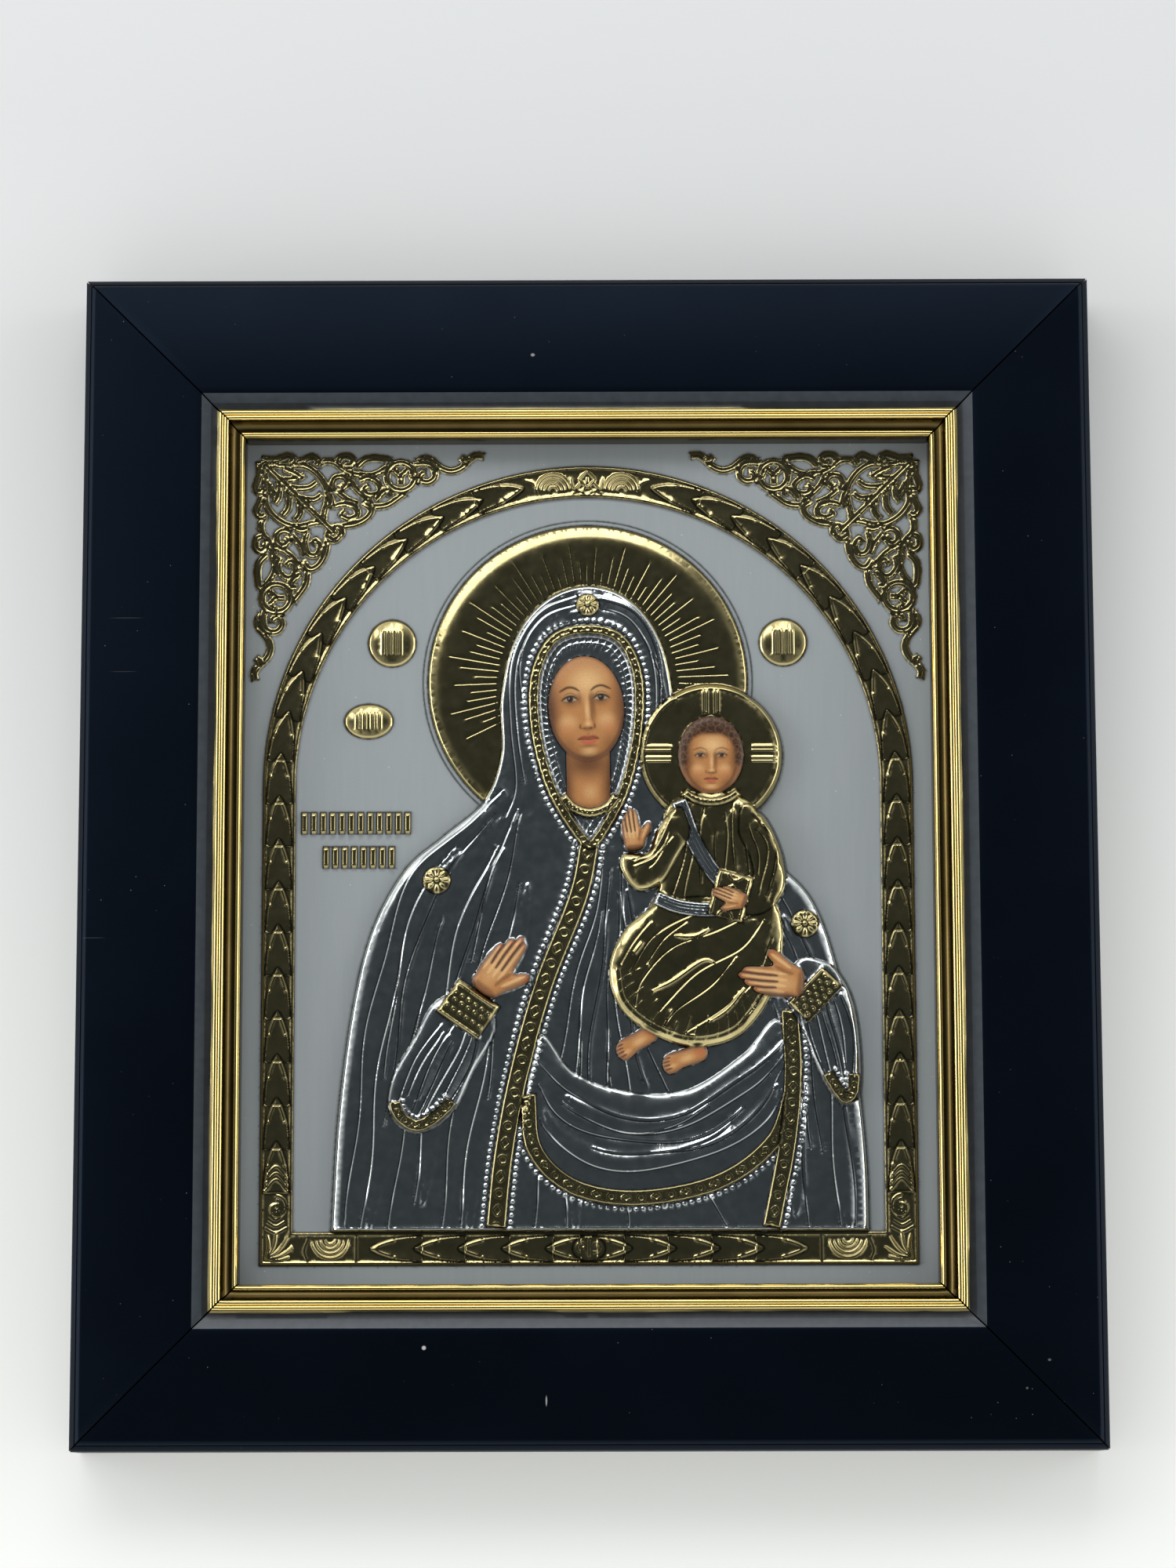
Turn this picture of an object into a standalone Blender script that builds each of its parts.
"""Framed icon panel lying on its back, face up: four mitred rails, an embossed plate and a backing board.

Metres, +Z out of the face, +Y to the top of the picture, +X to its right.
The origin is the middle of the back, on the surface that the frame lies on.
"""
import math

import bmesh
import bpy
import numpy as np
from mathutils import Vector
from mathutils.geometry import delaunay_2d_cdt

# Frame, outside
FRAME_WIDTH = 0.205
FRAME_HEIGHT = 0.237
FRAME_DEPTH = 0.020

# Moulding, from its outer edge inward
EDGE_BEVEL = 0.0020
EDGE_BEVEL_DROP = 0.0016
FACE_WIDTH = 0.0218
GREY_OUTER = 0.0020
GREY_INNER = 0.0017
GREY_DROP = 0.0011
BEAD_WIDTH = 0.0010
COVE_WIDTH = 0.0019
COVE_DROP = 0.0025
INNER_BEAD = 0.0010
SIGHT_WALL = 0.0003

# What the moulding holds
PLATE_RECESS = 0.0096
PLATE_THICKNESS = 0.0060
PLATE_OVERLAP = 0.0052
BOARD_THICKNESS = 0.0025
CLEARANCE = 0.0003
MITRE_GAP = 0.0003

# Relief heights above the plate's ground
BAND_RISE = 0.0005
RIM_RISE = 0.0004
LEAF_RISE = 0.0005
SCROLL_RISE = 0.0010
HALO_RISE = 0.0014
RAY_RISE = 0.0003
BADGE_RISE = 0.0009
MANTLE_RISE = 0.0022
CHILD_HALO_RISE = 0.0026
CHILD_RISE = 0.0034
TRIM_RISE = 0.0028
FLESH_RISE = 0.0014
FOLD_RISE = 0.0006
STROKE_RISE = 0.0003

# The picture is drawn on this field and takes its scale from the sight opening
DRAWN_WIDTH = 139.6
DRAWN_HEIGHT = 171.6
DRAWN_PER_METRE = 1000
STROKE_PITCH = 3.0

MOULDING_WIDTH = (EDGE_BEVEL + FACE_WIDTH + GREY_OUTER + GREY_INNER + 2 * BEAD_WIDTH
                  + COVE_WIDTH + INNER_BEAD + SIGHT_WALL)
OPENING_WIDTH = FRAME_WIDTH - 2 * MOULDING_WIDTH
OPENING_HEIGHT = FRAME_HEIGHT - 2 * MOULDING_WIDTH
PLATE_WIDTH = OPENING_WIDTH + 2 * PLATE_OVERLAP
PLATE_HEIGHT = OPENING_HEIGHT + 2 * PLATE_OVERLAP
PLATE_FACE = FRAME_DEPTH - PLATE_RECESS
REBATE_WALL = MOULDING_WIDTH - PLATE_OVERLAP - CLEARANCE
BOARD_TOP = PLATE_FACE - PLATE_THICKNESS - CLEARANCE

# How closely the solids follow a curve, on the drawn field
CURVE_STEP = 3.95
STROKE_STEP = 3.1
FOLD_POINTS = 6
SAGITTA = 0.1
WELD = 0.42
BEAD_SIDES = 4
INFILL_STEP = 13.0
INFILL_SHOULDER = 3.0
COVERED_BY = 0.6
FLAT_ANGLE = math.radians(4)


def arc(cx, cy, radius, start, end, size=None):
    """Points on a circle between two angles in degrees, spaced as a circle of the given size needs."""
    turn = 2 * math.acos(1 - SAGITTA / max(size or radius, 4 * SAGITTA))
    count = max(3, math.ceil(math.radians(abs(end - start)) / turn))
    angles = np.radians(np.linspace(start, end, count + 1))
    return np.column_stack([cx + radius * np.cos(angles), cy + radius * np.sin(angles)])


def circle(cx, cy, radius):
    """A closed circle, its last point left out."""
    return arc(cx, cy, radius, 0, 360)[:-1]


def ellipse(cx, cy, half_x, half_y, tilt=0.0):
    """A closed ellipse turned by tilt degrees."""
    unit = circle(0, 0, max(half_x, half_y)) / max(half_x, half_y) * [half_x, half_y]
    turn = math.radians(tilt)
    matrix = np.array([[math.cos(turn), math.sin(turn)], [-math.sin(turn), math.cos(turn)]])
    return unit @ matrix + [cx, cy]


def smooth(points, step=CURVE_STEP, closed=False):
    """A smooth curve through a few points, sampled about every step."""
    p = np.array(points, float)
    if closed:
        p = np.vstack([p[-1], p, p[0], p[1]])
    else:
        p = np.vstack([2 * p[0] - p[1], p, 2 * p[-1] - p[-2]])
    out = []
    for a, b, c, d in zip(p, p[1:], p[2:], p[3:]):
        count = max(1, round(np.linalg.norm(c - b) / step))
        for t in np.arange(count) / count:
            out.append(0.5 * (2 * b + (c - a) * t + (2 * a - 5 * b + 4 * c - d) * t ** 2
                              + (3 * b - a - 3 * c + d) * t ** 3))
    if not closed:
        out.append(p[-2])
    return np.array(out)


def between(first, second, share, count=FOLD_POINTS):
    """The curve that lies a share of the way from one curve to another."""
    def spaced(line):
        length = np.concatenate([[0], np.cumsum(np.linalg.norm(np.diff(line, axis=0), axis=1))])
        at = np.linspace(0, length[-1], count)
        return np.column_stack([np.interp(at, length, line[:, k]) for k in (0, 1)])
    return spaced(np.array(first, float)) * (1 - share) + spaced(np.array(second, float)) * share


def normals(line, closed):
    """Unit normals to the left of a line's direction."""
    if closed:
        along = np.roll(line, -1, 0) - np.roll(line, 1, 0)
    else:
        along = np.gradient(line, axis=0)
    along /= np.linalg.norm(along, axis=1)[:, None] + 1e-12
    return np.column_stack([-along[:, 1], along[:, 0]])


def shrink(loop, inset):
    """A closed outline drawn again a set distance inside itself."""
    inward = 1 if area(loop) > 0 else -1
    return loop + normals(loop, True) * inset * inward


def area(loop):
    """Signed area of a closed loop, positive when it runs counterclockwise."""
    x, y = loop[:, 0], loop[:, 1]
    return 0.5 * np.sum(x * np.roll(y, -1) - np.roll(x, -1) * y)


def strip(path, half_width):
    """A closed outline that follows a path with a set half width."""
    path = np.array(path, float)
    side = normals(path, False) * half_width
    return np.vstack([path - side, (path + side)[::-1]])


def footprint(path, half_width):
    """The closed outline of a raised line, with a pointed end beyond each end of its path."""
    side = normals(path, False) * half_width
    reach = [(path[0] - path[1]), (path[-1] - path[-2])]
    ends = zip((path[0], path[-1]), reach)
    first, last = [end + way / np.linalg.norm(way) * half_width for end, way in ends]
    return np.vstack([path - side, [last], (path + side)[::-1], [first]])


def edge_distance(points, line, closed):
    """Distance from each point to the nearest stretch of a line."""
    start = line
    end = np.roll(line, -1, 0) if closed else line[1:]
    start = start[:len(end)]
    best = np.full(len(points), 1e9)
    for a, b in zip(start, end):
        ab = b - a
        t = np.clip((points - a) @ ab / max(ab @ ab, 1e-12), 0, 1)
        gap = points - a - t[:, None] * ab
        best = np.minimum(best, np.einsum("ij,ij->i", gap, gap))
    return np.sqrt(best)


def inside(points, loop):
    """Whether each point lies inside a closed loop."""
    result = np.zeros(len(points), bool)
    x, y = points[:, 0], points[:, 1]
    for (ax, ay), (bx, by) in zip(loop, np.roll(loop, -1, 0)):
        if ay == by:
            continue
        crosses = (ay > y) != (by > y)
        result ^= crosses & (x < (bx - ax) * (y - ay) / (by - ay) + ax)
    return result


class Form:
    """A closed outline that rises from what lies under it to its own height, with raised lines on it."""

    def __init__(self, outline, height, shoulder, lines=()):
        self.outline = np.array(outline, float)
        self.height = height
        self.shoulder = shoulder
        self.lines = list(lines)


def line(points, half_width, rise):
    """A raised line: its path, its half width and its rise."""
    return np.array(points, float), half_width, rise


def surface(points, forms):
    """Height of the relief at each point of the drawn field."""
    z = np.zeros(len(points))
    for form in forms:
        low, high = form.outline.min(0), form.outline.max(0)
        near = np.where(np.all((points >= low) & (points <= high), axis=1))[0]
        near = near[inside(points[near], form.outline)]
        if not len(near):
            continue
        here = points[near]
        rounded = np.ones(len(here))
        if form.shoulder:
            t = np.clip(edge_distance(here, form.outline, True) / form.shoulder, 0, 1)
            rounded = np.sqrt(np.maximum(0, 1 - (1 - t) ** 2))
        bump = np.zeros(len(here))
        for path, half_width, rise in form.lines:
            across = np.clip(edge_distance(here, path, False) / half_width, 0, 1)
            bump = np.maximum(bump, rise * (1 - across ** 2))
        z[near] += (form.height - z[near]) * rounded + bump * np.minimum(1, rounded * 1.5)
    return z


# Arch border, in drawn millimetres from the middle of the picture

BORDER_OUT = 65.8
BORDER_BAND = 6.6
BORDER_RIM = 0.6
ARCH_CENTRE = 15.4
BORDER_FOOT = -81.8
LEAF_PITCH = 8.75
LEAF_LENGTH = 9.0
LEAF_HALF = 2.1
LEAF_SHOULDER = 0.9
FIRST_LEAF = 19.0
CROWN_HALF = 14.0
FOOT_SCROLL = 18.0
SCROLL_HALF = 0.6
PALM_HALF = 0.9
CROWN_CURL = (7.2, 2.0)
FOOT_CURL = (13.5, 2.2)
SIDE_CURL = 9.5
DIAMOND = (1.9, 2.0)


def arch_outline(inset):
    """The arch's outline, a set distance inside its outer edge."""
    half = BORDER_OUT - inset
    foot = BORDER_FOOT + inset
    curve = arc(0, ARCH_CENTRE, half, 0, 180, BORDER_OUT)
    return np.vstack([[-half, foot], [half, foot], curve])


def arch_path(along):
    """Point and direction on the band's middle, a distance up from the left foot and over the arch."""
    half = BORDER_OUT - BORDER_BAND / 2
    rise = ARCH_CENTRE - BORDER_FOOT
    if along < rise:
        return np.array([-half, BORDER_FOOT + along]), np.array([0.0, 1.0])
    angle = math.pi - (along - rise) / half
    place = np.array([half * math.cos(angle), ARCH_CENTRE + half * math.sin(angle)])
    return place, np.array([math.sin(angle), -math.cos(angle)])


def leaf(place, direction):
    """One long pointed leaf of the band."""
    across = np.array([-direction[1], direction[0]])
    base = place - direction * LEAF_LENGTH * 0.5
    tip = place + direction * LEAF_LENGTH * 0.5
    side = across * LEAF_HALF
    wide = place - direction * LEAF_LENGTH * 0.08
    outline = [base - side * 0.4, wide - side, tip, wide + side, base + side * 0.4]
    return Form(outline, drawn(BAND_RISE + LEAF_RISE), LEAF_SHOULDER)


def border():
    """The band with raised rims, its leaves, which point to the crown and the corners, and its inner edge."""
    rims = []
    for inset in (BORDER_RIM, BORDER_BAND - BORDER_RIM):
        loop = arch_outline(inset)
        rims.append(line(np.vstack([loop, loop[:1]]), BORDER_RIM, drawn(RIM_RISE)))
    forms = [Form(arch_outline(0), drawn(BAND_RISE), BORDER_RIM, rims + band_scrolls())]
    half_run = ARCH_CENTRE - BORDER_FOOT + (BORDER_OUT - BORDER_BAND / 2) * math.pi / 2
    for along in np.arange(FIRST_LEAF, half_run - CROWN_HALF, LEAF_PITCH)[::-1]:
        place, direction = arch_path(along)
        forms.append(leaf(place, direction))
        forms.append(leaf(place * [-1, 1], direction * [-1, 1]))
    middle = BORDER_FOOT + BORDER_BAND / 2
    for x in np.arange(LEAF_LENGTH / 2, BORDER_OUT - FOOT_SCROLL, LEAF_PITCH):
        forms.insert(1, leaf(np.array([x, middle]), np.array([1.0, 0.0])))
        forms.insert(1, leaf(np.array([-x, middle]), np.array([-1.0, 0.0])))
    forms.append(Form(arch_outline(BORDER_BAND), 0, BORDER_RIM))
    return forms


def band_scrolls():
    """Curled leaves on the band at its crown and its lower corners, with the crown's small diamond."""
    rise = drawn(SCROLL_RISE)
    top = ARCH_CENTRE + BORDER_OUT - BORDER_BAND / 2
    middle = BORDER_FOOT + BORDER_BAND / 2
    lines = []
    for side in (-1, 1):
        for radius in (3.0, 1.5):
            crown = arc(side * CROWN_CURL[0], top - CROWN_CURL[1], radius, 0, 180)
            foot = arc(side * (BORDER_OUT - FOOT_CURL[0]), middle + FOOT_CURL[1], radius * 1.2, 180, 360)
            upright = side * (BORDER_OUT - BORDER_BAND / 2)
            spiral = arc(upright, middle + SIDE_CURL, radius * 0.75, 0, 360)
            lines += [line(path, SCROLL_HALF, rise) for path in (crown, foot, spiral)]
        palm = [(side * (BORDER_OUT - 1.2), BORDER_FOOT + 1.2),
                (side * (BORDER_OUT - 6.0), BORDER_FOOT + 5.6)]
        lines.append(line(palm, PALM_HALF, rise))
    wide, high = DIAMOND
    diamond = [(0, top + high), (wide, top), (0, top - high), (-wide, top), (0, top + high)]
    lines.append(line(diamond, SCROLL_HALF, rise))
    return lines


# Corner ornaments, drawn right and down from the outer corner; the other half swaps the two

CORNER_X = 67.7
CORNER_Y = 83.4
STROKE_HALF = 0.62
CORNER_STROKES = (
    ((31.0, 1.8), (33.8, 0.6), (36.6, 2.3), (39.4, 3.0), (42.2, 1.4), (45.2, 0.1)),
    ((35.6, 2.2), (35.4, 4.6), (33.6, 5.5), (32.5, 4.2), (33.6, 3.2)),
    ((20.0, 3.2), (22.6, 0.8), (26.2, 1.1), (24.0, 3.6), (20.0, 3.2)),
    ((12.6, 1.6), (15.6, 0.5), (18.2, -0.1), (19.2, 1.2), (17.4, 1.9)),
    ((12.6, 1.6), (16.0, 2.8), (20.0, 3.2), (22.4, 5.2), (24.4, 7.0), (22.0, 8.6), (19.6, 6.4)),
    ((28.9, 7.8), (25.8, 10.2), (22.9, 10.4), (21.4, 13.4), (17.4, 14.0)),
    ((15.6, 9.6), (18.4, 9.2), (19.8, 11.2), (17.6, 12.6), (16.2, 11.0)),
    ((14.8, 6.6), (18.0, 9.0)),
    ((0.9, 0.9), (6.8, 1.7), (11.4, 3.2), (14.4, 6.6), (14.8, 10.6), (13.4, 13.4)),
    ((4.2, 4.2), (7.6, 4.8), (9.6, 3.6)),
    ((7.6, 7.6), (10.4, 8.2), (12.2, 6.8)),
    ((0.6, 0.3), (4.0, 0.4), (7.0, -0.2), (7.4, 1.4)),
    ((8.2, 1.6), (10.6, 0.0), (12.6, 1.6)),
    ((14.0, 14.6), (16.6, 14.2), (16.6, 16.4)),
)
CORNER_SPINE = ((1.6, 1.6), (13.4, 13.4))
CORNER_RING = (28.7, 4.3, 2.7)
RING_BAR = 1.8


def corners():
    """Raised scrollwork in both upper corners."""
    strokes = [smooth(stroke, STROKE_STEP) for stroke in CORNER_STROKES]
    strokes.append(arc(*CORNER_RING, 0, 360))
    x, y, _ = CORNER_RING
    strokes.append(np.array([(x, y - RING_BAR), (x, y + RING_BAR)]))
    strokes += [stroke[:, ::-1] for stroke in strokes]
    strokes.append(np.array(CORNER_SPINE))
    lines = []
    for stroke in strokes:
        for side in (-1, 1):
            place = np.column_stack([side * (CORNER_X - stroke[:, 0]), CORNER_Y - stroke[:, 1]])
            lines.append(line(place, STROKE_HALF, drawn(SCROLL_RISE)))
    return lines


# Figures: a haloed mother facing front, with a child sitting upright at the right of the picture

HALO = (0.0, 36.3, 32.5)
CHILD_HALO = (25.0, 21.0, 14.5)
BASE = -75.2
RAY_STEP = 15
HALO_SHOULDER = 4.2
MANTLE_SHOULDER = 4.0
FOLD_HALF = 1.3
CHILD_FOLD_HALF = 1.0
TRIM_HALF = 1.9
CUFF_HALF = 5.0
SLEEVE_HALF = 7.0
FACE = (-0.3, 30.6, 7.7, 10.8, 4)
CHILD_FACE = (24.9, 20.8, 6.6, 8.0)
FEET = ((10.5, -36.6, 24), (18.5, -40.6, 14))
FOOT_SIZE = (4.4, 2.1)
BOOK = ((27.4, -12.6), (29.8, -3.6))
BOOK_HALF = 3.6


def mantle_outline():
    """The mother's veil and mantle."""
    return smooth([(56, BASE), (55.6, -60), (53.8, -42), (50.6, -24), (45.5, -9), (38, -1), (29, 5), (21, 12),
                   (17.4, 22), (17.2, 34), (14.4, 45.5), (8.4, 53.2), (0, 56), (-8.6, 53), (-14.8, 45),
                   (-17.6, 33), (-17.6, 21), (-21, 12), (-29, 5), (-37, -2), (-43.5, -14), (-47.5, -30),
                   (-50.3, -52), (-51.6, BASE)])


def mantle_folds():
    """Fold lines that fall from the shoulders and fan out to the foot, and loops across the lap."""
    foot = BASE + 1
    left = smooth([(-20, 9), (-33, -4), (-42, -30), (-47, foot)])
    left_inner = smooth([(-15.5, 9), (-15, -10), (-19, -44), (-23, foot)])
    right = smooth([(30, 1), (42, -10), (49, -34), (52, foot)])
    right_inner = smooth([(40, -26), (39, -42), (34, -58), (31, foot)])
    lap = smooth([(-11, -36), (2, -45), (18, -48), (34, -42)])
    hem = smooth([(-15, -60), (0, -68), (18, -69), (31, -62)])
    folds = [between(left, left_inner, share) for share in (0, 0.3, 0.62, 1)]
    folds += [between(right, right_inner, share) for share in (0, 0.35, 0.7, 1)]
    folds += [between(lap, hem, share) for share in (0, 0.33, 0.66, 1)]
    return [line(fold, FOLD_HALF, drawn(FOLD_RISE)) for fold in folds]


def rays(centre_x, centre_y, turns, start, reaches, half_width):
    """Raised rays from a centre, their reaches taken in turn."""
    made = []
    for place, turn in enumerate(turns):
        angle = math.radians(turn)
        ends = [(centre_x + r * math.cos(angle), centre_y + r * math.sin(angle))
                for r in (start, reaches[place % len(reaches)])]
        made.append(line(ends, half_width, drawn(RAY_RISE)))
    return made


def mother():
    """Halo, mantle, veil opening, neck and face of the large figure."""
    turns = range(-RAY_STEP, 200, RAY_STEP)
    halo_rays = rays(*HALO[:2], turns, 19.0, (25.5, 28.0), 0.5)
    halo = Form(circle(*HALO), drawn(HALO_RISE), HALO_SHOULDER, halo_rays)
    mantle = Form(mantle_outline(), drawn(MANTLE_RISE), MANTLE_SHOULDER, mantle_folds())
    edge = smooth([(0.5, 4), (-2, -8), (-9, -26), (-14, -44), (-17, -60), (-18.5, BASE + 0.8)])
    opening = smooth([(0, 47.8), (-7.4, 45.6), (-11.4, 38), (-11.6, 27), (-8.8, 15), (-4, 6), (0.5, 1.5),
                      (4.6, 6), (8.8, 15), (11.2, 27), (11, 38), (7.2, 45.6)], closed=True)
    return [halo, mantle,
            Form(strip(edge, TRIM_HALF), drawn(TRIM_RISE), 0.7),
            Form(opening, drawn(TRIM_RISE), 0.8),
            Form(shrink(opening, TRIM_HALF), drawn(FLESH_RISE), 0.7),
            Form(strip([(0, 23), (0.2, 10)], 4.4), drawn(FLESH_RISE) * 1.1, 1.2),
            Form(ellipse(*FACE), drawn(FLESH_RISE) * 1.5, 3.0)]


def folded(outline, height, shoulder, first, last, count):
    """A form with a family of folds between two guide lines."""
    first, last = smooth(first), smooth(last)
    paths = [between(first, last, share, FOLD_POINTS - 1) for share in np.linspace(0, 1, count)]
    folds = [line(path, CHILD_FOLD_HALF, drawn(FOLD_RISE)) for path in paths]
    return Form(outline, height, shoulder, folds)


def child():
    """Halo, sleeves, robe, head and feet of the small figure, upright and turned to the front."""
    top = drawn(CHILD_RISE)
    halo = Form(circle(*CHILD_HALO), drawn(CHILD_HALO_RISE), 2.2,
                rays(*CHILD_HALO[:2], (0, 90, 180), 8.5, (12.8,), 1.0))
    torso = smooth([(20.5, 12.6), (16.2, 10.4), (14.4, 4), (14.2, -6), (12, -15), (36, -15),
                    (36.4, -4), (35, 5), (33.4, 10.4), (29.4, 12.6), (25, 13.4)], closed=True)
    lap = smooth([(13.5, -10), (7.2, -15), (4.2, -22.5), (6, -30), (12, -35.4), (21, -38.5), (30.5, -36),
                  (37.2, -27), (39.2, -15), (36.4, -7.4), (30, -9), (22, -8.2)], closed=True)
    near_sleeve = smooth([(18.5, 10), (14.2, 6), (12.0, 1.0), (7.0, 0.6), (6.8, -3.0), (10, -6.8),
                          (14.6, -5.4), (18, 0), (20.5, 5)], closed=True)
    far_sleeve = smooth([(31.5, 10.6), (36, 8), (39.4, 0), (39.4, -7), (35.6, -11.4), (31.2, -11.6),
                         (30.6, -7.8), (33.2, -4.6), (32.6, 0), (30.4, 5)], closed=True)
    feet = [Form(ellipse(x, y, *FOOT_SIZE, tilt), top * 0.9, 1.2) for x, y, tilt in FEET]
    return [halo] + feet + [
        folded(torso, top, 2.6, [(20, 11), (19, 0), (17, -10)], [(31, 11), (32, 0), (33, -10)], 4),
        folded(lap, top * 1.08, 3.2, [(34, -10), (24, -13), (13, -18), (8, -26)],
               [(36, -22), (31, -30), (22, -34), (14, -33)], 4),
        Form(near_sleeve, top * 1.1, 1.6),
        Form(far_sleeve, top * 1.1, 1.6),
        Form(strip(BOOK, BOOK_HALF), top * 1.2, 0.8),
        Form(ellipse(*CHILD_FACE), top, 2.0)]


HAND_OUTLINE = ((0, -2.0), (3, -3.0), (7, -3.0), (10.5, -2.1), (11.7, -0.5), (10.9, 1.0), (8.2, 2.0),
                (5.8, 2.6), (7.2, 4.3), (6.4, 5.4), (4.8, 5.0), (2.4, 3.4), (0, 2.0))
# Each arm of the large figure: its sleeve, its cuff, and its hand's place, turn, size and thumb
ARMS = ((((-34, -47), (-29, -38), (-24.5, -31)), ((-26.4, -34), (-21.8, -27.4)), (-21.4, -27, 52, 1.15, -1)),
        (((51, -40), (48.6, -32), (46, -27.6)), ((47.6, -30), (43.4, -26)), (43, -25.8, 172, 1.1, -1)))
CHILD_HANDS = ((9.4, 1.6, 96, 0.72, -1), (31.6, -9.4, 160, 0.6, 1))


def hand(x, y, turn, size, thumb):
    """A mitten-shaped outline of a hand that points along turn degrees, its thumb up at 1 or down at -1."""
    c, s = math.cos(math.radians(turn)) * size, math.sin(math.radians(turn)) * size
    return np.array([(x + c * u - s * v * thumb, y + s * u + c * v * thumb) for u, v in HAND_OUTLINE])


def hands():
    """The mother's sleeves, gold cuffs and hands, and the child's hands."""
    top = drawn(CHILD_RISE)
    trim = drawn(TRIM_RISE)
    forms = []
    for sleeve, cuff, place in ARMS:
        forms.append(Form(strip(smooth(sleeve), SLEEVE_HALF), trim, 2.2))
        forms.append(Form(strip(smooth(cuff), CUFF_HALF), trim * 1.15, 1.0))
        forms.append(Form(hand(*place), top * 1.15, 1.2))
    forms.append(Form(hand(*CHILD_HANDS[0]), top * 1.15, 0.8))
    forms.append(Form(hand(*CHILD_HANDS[1]), top * 1.3, 0.7))
    return forms


ROUND_BADGES = ((-39.8, 44.4), (39.8, 44.4))
ROUND_BADGE_RADIUS = 4.9
OVAL_BADGE = (-44.5, 28.3, 5.0, 3.6)
MARK_HALF = 0.5


def badges():
    """Two round badges and an oblong one, each with shallow upright strokes."""
    shapes = [(circle(x, y, ROUND_BADGE_RADIUS), x, y, 4.2, (-1.6, 0, 1.6)) for x, y in ROUND_BADGES]
    shapes.append((ellipse(*OVAL_BADGE), *OVAL_BADGE[:2], 3.0, (-1.8, 0, 1.8)))
    forms = []
    for outline, x, y, length, marks in shapes:
        ends = [((x + dx, y + length / 2), (x + dx, y - length / 2)) for dx in marks]
        strokes = [line(pair, MARK_HALF, drawn(STROKE_RISE)) for pair in ends]
        forms.append(Form(outline, drawn(BADGE_RISE), 1.2, strokes))
    return forms


INSCRIPTION_ROWS = ((9.6, -57.4, -34.6), (2.6, -53.0, -38.0))
MARK_LENGTH = 4.4


def inscription():
    """Two rows of shallow upright strokes at the left of the shoulder."""
    lines = []
    for top, left, right in INSCRIPTION_ROWS:
        for x in np.arange(left, right, STROKE_PITCH):
            lines.append(line([(x, top), (x, top - MARK_LENGTH)], MARK_HALF, drawn(STROKE_RISE)))
    return lines


def drawn(length):
    """A real height in the drawn field's millimetres."""
    return length * DRAWN_PER_METRE


def picture():
    """Every form of the relief, the lowest first; the first one is the bare ground with its raised lines."""
    ground = Form([(-72, -88), (72, -88), (72, 88), (-72, 88)], 0, 0, corners() + inscription())
    return [ground] + border() + badges() + mother() + child() + hands()


def drawn_lines(forms):
    """The lines that the relief's mesh must follow: outlines, shoulders and raised lines, where uncovered."""
    result = []

    def add(path, closed, rank):
        covered = np.zeros(len(path), bool)
        for later in forms[rank + 1:]:
            covered |= inside(path, later.outline) & (edge_distance(path, later.outline, True) > COVERED_BY)
        order = list(range(len(path))) + ([0] if closed else [])
        for a, b in zip(order, order[1:]):
            if not (covered[a] and covered[b]):
                result.append((path[a], path[b]))

    for rank, form in enumerate(forms):
        if rank:
            add(form.outline, True, rank)
        if form.shoulder:
            counter = 1 if area(form.outline) > 0 else -1
            side = normals(form.outline, True) * counter
            for share in (0.35, 1.0) if form.shoulder > 3.5 else (1.0,):
                add(form.outline + side * form.shoulder * share, True, rank)
        for path, half_width, _ in form.lines:
            add(path, False, rank)
            if np.allclose(path[0], path[-1]):
                side = normals(path, False) * half_width
                add(path - side, False, rank)
                add(path + side, False, rank)
            else:
                add(footprint(path, half_width), True, rank)
    return result


def plate_mesh():
    """The embossed plate: one closed solid with the whole relief on its face."""
    forms = picture()
    scale = np.array([OPENING_WIDTH / DRAWN_WIDTH, OPENING_HEIGHT / DRAWN_HEIGHT])
    half = np.array([PLATE_WIDTH, PLATE_HEIGHT]) / 2 / scale
    points = [(-half[0], -half[1]), (half[0], -half[1]), (half[0], half[1]), (-half[0], half[1])]
    edges = [(0, 1), (1, 2), (2, 3), (3, 0)]
    seen = {}

    def index(point):
        key = (round(point[0] / WELD), round(point[1] / WELD))
        if key not in seen:
            seen[key] = len(points)
            points.append((float(point[0]), float(point[1])))
        return seen[key]

    for a, b in drawn_lines(forms):
        pair = (index(a), index(b))
        if pair[0] != pair[1]:
            edges.append(pair)
    figure = [form for form in forms if form.shoulder >= INFILL_SHOULDER]
    columns = np.arange(-60, 60, INFILL_STEP)
    rows = np.arange(-73, 70, INFILL_STEP)
    grid = np.array([(x, y) for x in columns for y in rows])
    wanted = np.zeros(len(grid), bool)
    for form in figure:
        wanted |= inside(grid, form.outline)
    taken = np.array(points)
    for point in grid[wanted]:
        if np.min(np.sum((taken - point) ** 2, axis=1)) > (INFILL_STEP * 0.5) ** 2:
            index(point)
    flat, _, faces, _, _, _ = delaunay_2d_cdt([Vector(p) for p in points], edges, [], 0, 1e-4)
    flat = np.array([(p.x, p.y) for p in flat])
    rise = surface(flat, forms) / DRAWN_PER_METRE
    return flat * scale, rise, faces


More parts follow.
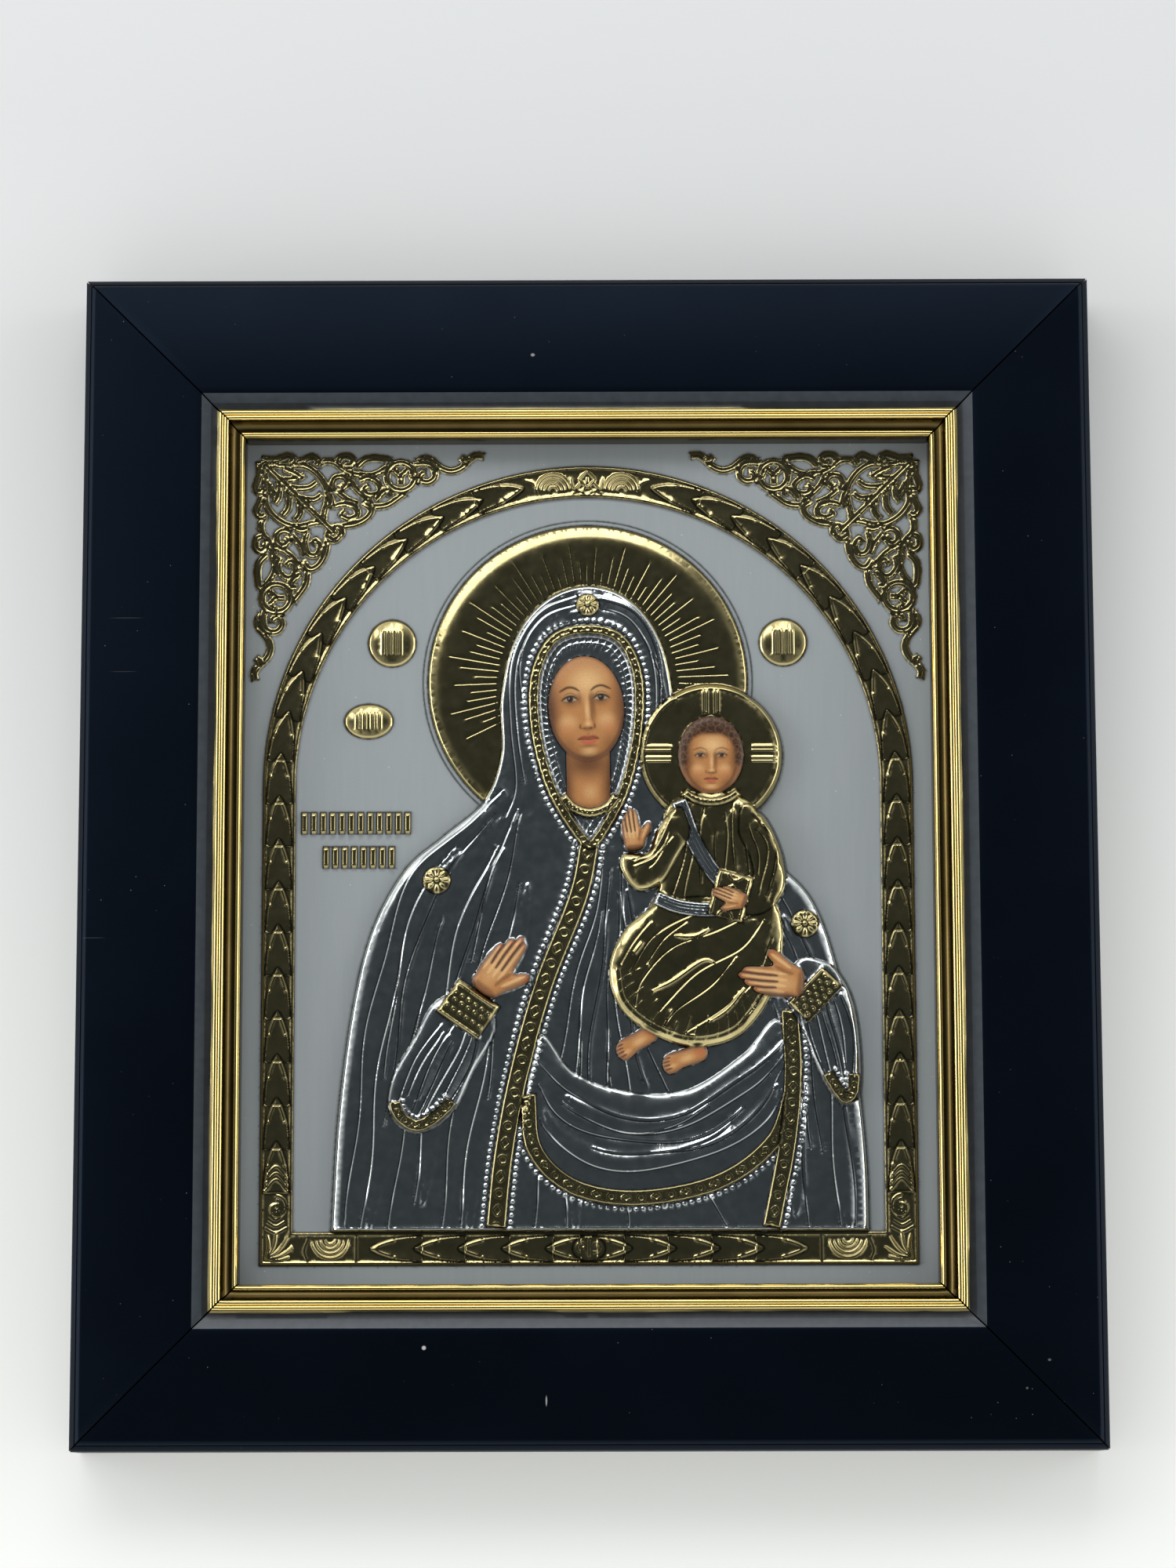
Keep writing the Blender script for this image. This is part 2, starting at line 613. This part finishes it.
def build_plate():
    """Turn the relief into a closed mesh and place it in the rebate."""
    flat, rise, faces = plate_mesh()
    bm = bmesh.new()
    top = [bm.verts.new((x, y, PLATE_FACE + z)) for (x, y), z in zip(flat, rise)]
    for face in faces:
        bm.faces.new([top[i] for i in face])
    bmesh.ops.dissolve_limit(bm, angle_limit=FLAT_ANGLE, verts=bm.verts, edges=bm.edges)
    bmesh.ops.triangulate(bm, faces=bm.faces)
    bm.normal_update()
    rim = [edge for edge in bm.edges if edge.is_boundary]
    made = bmesh.ops.extrude_edge_only(bm, edges=rim)["geom"]
    low = [item for item in made if isinstance(item, bmesh.types.BMVert)]
    for vert in low:
        vert.co.z = PLATE_FACE - PLATE_THICKNESS
    bmesh.ops.contextual_create(bm, geom=[edge for edge in bm.edges if edge.is_boundary])
    return add_object("icon_plate", bm, material("embossed_foil", (0.30, 0.27, 0.20), 0.35, 0.8))


def rail_profile():
    """The moulding's section: distance in from the outer edge, and height above the back."""
    top = FRAME_DEPTH
    x = EDGE_BEVEL
    points = [(0, 0), (0, top - EDGE_BEVEL_DROP), (x, top)]
    x += FACE_WIDTH
    points.append((x, top))
    x += GREY_OUTER
    points.append((x, top - GREY_DROP))
    x += GREY_INNER
    radius = BEAD_WIDTH / 2
    for _ in range(2):
        points += [(x + radius - radius * math.cos(a), top - radius + radius * math.sin(a))
                   for a in np.linspace(0, math.pi, BEAD_SIDES + 1)[:-1]]
        x += BEAD_WIDTH
    points += [(x + COVE_WIDTH * (1 - math.cos(a)), top - radius - COVE_DROP * math.sin(a))
               for a in np.linspace(0, math.pi / 2, BEAD_SIDES)[:-1]]
    x += COVE_WIDTH
    radius = INNER_BEAD / 2
    low = top - BEAD_WIDTH / 2 - COVE_DROP
    points += [(x + radius - radius * math.cos(a), low + radius * math.sin(a))
               for a in np.linspace(0, math.pi, BEAD_SIDES + 1)]
    x += INNER_BEAD + SIGHT_WALL
    points += [(x, PLATE_FACE + CLEARANCE), (REBATE_WALL, PLATE_FACE + CLEARANCE), (REBATE_WALL, 0)]
    return points


def build_rail(name, length, reach, turn, black):
    """One mitred rail, drawn for the top of the frame and turned into place."""
    bm = bmesh.new()
    profile = rail_profile()
    cut = MITRE_GAP / math.sqrt(2)
    ends = []
    for side in (-1, 1):
        ends.append([bm.verts.new((side * (length / 2 - depth - cut), -depth, z)) for depth, z in profile])
    count = len(profile)
    for i in range(count):
        j = (i + 1) % count
        bm.faces.new([ends[0][i], ends[0][j], ends[1][j], ends[1][i]])
    bm.faces.new(ends[0])
    bm.faces.new(ends[1][::-1])
    bmesh.ops.recalc_face_normals(bm, faces=bm.faces)
    rail = add_object(name, bm, black)
    rail.rotation_euler = (0, 0, math.radians(turn))
    rail.location = Vector((0, reach, 0))
    rail.location.rotate(rail.rotation_euler)
    return rail


def build_board():
    """The thin board that closes the back, a little in from the rails' back faces."""
    bm = bmesh.new()
    bmesh.ops.create_cube(bm, size=1)
    size = (PLATE_WIDTH, PLATE_HEIGHT, BOARD_THICKNESS)
    middle = (0, 0, BOARD_TOP - BOARD_THICKNESS / 2)
    for vert in bm.verts:
        vert.co = Vector([c * s + m for c, s, m in zip(vert.co, size, middle)])
    return add_object("backing_board", bm, material("hardboard", (0.28, 0.18, 0.10), 0.8, 0.0))


def material(name, colour, roughness, metallic):
    """A plain Principled material."""
    made = bpy.data.materials.new(name)
    made.use_nodes = True
    shader = made.node_tree.nodes["Principled BSDF"]
    shader.inputs["Base Color"].default_value = (*colour, 1)
    shader.inputs["Roughness"].default_value = roughness
    shader.inputs["Metallic"].default_value = metallic
    return made


def add_object(name, bm, finish):
    """Put a finished mesh into the scene under its own name."""
    mesh = bpy.data.meshes.new(name)
    bm.to_mesh(mesh)
    bm.free()
    mesh.materials.append(finish)
    made = bpy.data.objects.new(name, mesh)
    bpy.context.scene.collection.objects.link(made)
    return made


def main():
    for old in list(bpy.data.objects):
        bpy.data.objects.remove(old, do_unlink=True)
    black = material("black_lacquer", (0.006, 0.007, 0.009), 0.2, 0.0)
    build_rail("frame_rail_top", FRAME_WIDTH, FRAME_HEIGHT / 2, 0, black)
    build_rail("frame_rail_left", FRAME_HEIGHT, FRAME_WIDTH / 2, 90, black)
    build_rail("frame_rail_bottom", FRAME_WIDTH, FRAME_HEIGHT / 2, 180, black)
    build_rail("frame_rail_right", FRAME_HEIGHT, FRAME_WIDTH / 2, 270, black)
    build_plate()
    build_board()


main()
